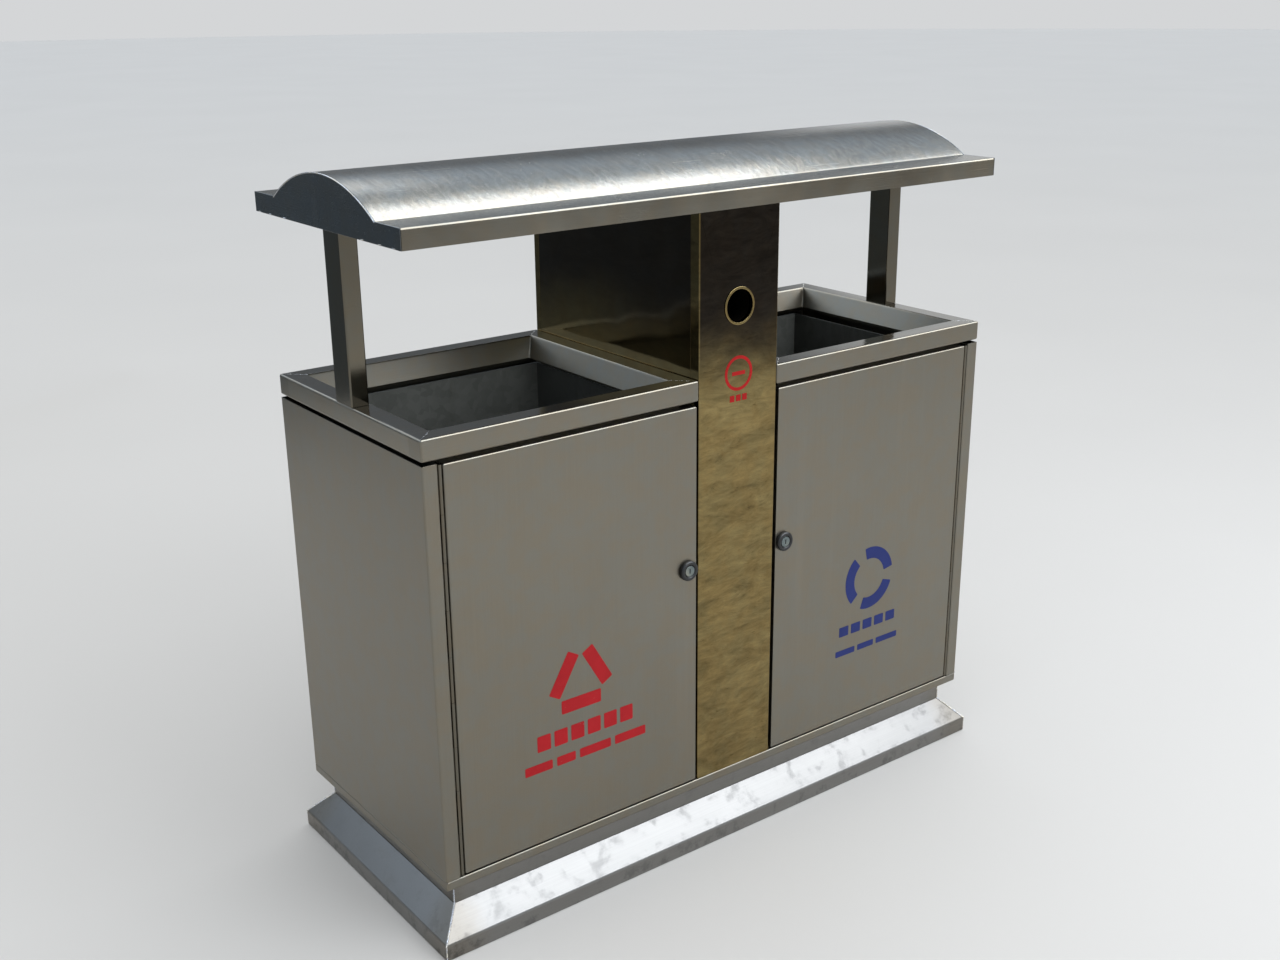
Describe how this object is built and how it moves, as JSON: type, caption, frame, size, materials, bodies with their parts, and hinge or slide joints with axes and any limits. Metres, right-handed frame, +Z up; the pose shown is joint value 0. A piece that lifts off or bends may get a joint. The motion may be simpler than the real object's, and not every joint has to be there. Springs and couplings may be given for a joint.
{
  "type": "recycling bin station",
  "caption": "Freestanding steel litter station with lockable doors, open-topped compartments, a centre column with an ash hole, and an arched canopy on posts over a sloped plinth.",
  "frame": {"origin": "on the ground under the middle of the station", "axes": "+X along the station to the right when facing the doors, +Y from the doors to the back, +Z up"},
  "size_m": [1.132, 0.472, 1.1205],
  "materials": {
    "brushed_steel": "fine straight grain, satin",
    "polished_steel": "polished stainless",
    "gold_mirror": "gold-toned mirror polish",
    "galvanised": "dull galvanised sheet",
    "zinc_steel": "zinc plated",
    "black_plastic": "semi-gloss black",
    "red_film": "printed film, satin",
    "blue_film": "printed film, satin"
  },
  "bodies": {
    "station": {"plinth_skirt": "brushed_steel", "base_frame": "brushed_steel", "floor_pan": "brushed_steel", "side_panel_left": "brushed_steel", "side_panel_right": "brushed_steel", "back_panel_left": "brushed_steel", "back_panel_right": "brushed_steel", "header_left": "brushed_steel", "header_right": "brushed_steel", "rim_left": "brushed_steel", "rim_right": "brushed_steel", "canopy_ledge_front": "brushed_steel", "canopy_ledge_back": "brushed_steel", "canopy_end_left": "brushed_steel", "canopy_end_right": "brushed_steel", "canopy_roof": "brushed_steel", "canopy_soffit": "brushed_steel", "canopy_rib_left": "brushed_steel", "canopy_rib_right": "brushed_steel", "post_left": "polished_steel", "post_right": "polished_steel", "hinge_leaf_stile_left": "polished_steel", "hinge_leaf_stile_right": "polished_steel", "hinge_pin_left": "polished_steel", "hinge_pin_right": "polished_steel", "ash_bezel": "polished_steel", "column_front": "gold_mirror", "column_back": "gold_mirror", "column_side_left": "gold_mirror", "column_side_right": "gold_mirror", "liner_left": "galvanised", "liner_right": "galvanised", "liner_tray_left": "galvanised", "liner_tray_right": "galvanised", "ash_chute": "galvanised", "ash_can": "galvanised", "ash_shelf": "galvanised", "anchor_bar_left": "zinc_steel", "anchor_bar_right": "zinc_steel", "handle_clip_left": "zinc_steel", "handle_clip_right": "zinc_steel", "strike_plate_left": "zinc_steel", "strike_plate_right": "zinc_steel"},
    "door_left": {"door_left": "brushed_steel", "door_stiffener_left": "brushed_steel", "hinge_leaf_door_left": "polished_steel", "lock_bezel_left": "black_plastic", "lock_nut_left": "zinc_steel"},
    "lock_left": {"lock_cylinder_left": "zinc_steel", "lock_cam_left": "zinc_steel"},
    "handle_left": {"liner_handle_left": "zinc_steel"},
    "door_right": {"door_right": "brushed_steel", "door_stiffener_right": "brushed_steel", "hinge_leaf_door_right": "polished_steel", "lock_bezel_right": "black_plastic", "lock_nut_right": "zinc_steel"},
    "lock_right": {"lock_cylinder_right": "zinc_steel", "lock_cam_right": "zinc_steel"},
    "handle_right": {"liner_handle_right": "zinc_steel"}
  },
  "joints": [
    {"name": "door_hinge_left", "type": "hinge", "parent": "station", "child": "door_left", "pos_m": [-0.522, -0.217, 0.44], "axis": [0, 0, -1], "range_deg": [0, 100]},
    {"name": "lock_turn_left", "type": "hinge", "parent": "door_left", "child": "lock_left", "pos_m": [-0.1, -0.2, 0.497], "axis": [0, 1, 0], "range_deg": [0, 90]},
    {"name": "handle_swing_left", "type": "hinge", "parent": "station", "child": "handle_left", "pos_m": [-0.2997, -0.1878, 0.6606], "axis": [-1, 0, 0], "range_deg": [0, 80]},
    {"name": "door_hinge_right", "type": "hinge", "parent": "station", "child": "door_right", "pos_m": [0.522, -0.217, 0.44], "axis": [0, 0, 1], "range_deg": [0, 100]},
    {"name": "lock_turn_right", "type": "hinge", "parent": "door_right", "child": "lock_right", "pos_m": [0.1, -0.2, 0.497], "axis": [0, -1, 0], "range_deg": [0, 90]},
    {"name": "handle_swing_right", "type": "hinge", "parent": "station", "child": "handle_right", "pos_m": [0.2997, -0.1878, 0.6606], "axis": [-1, 0, 0], "range_deg": [0, 80]}
  ]
}
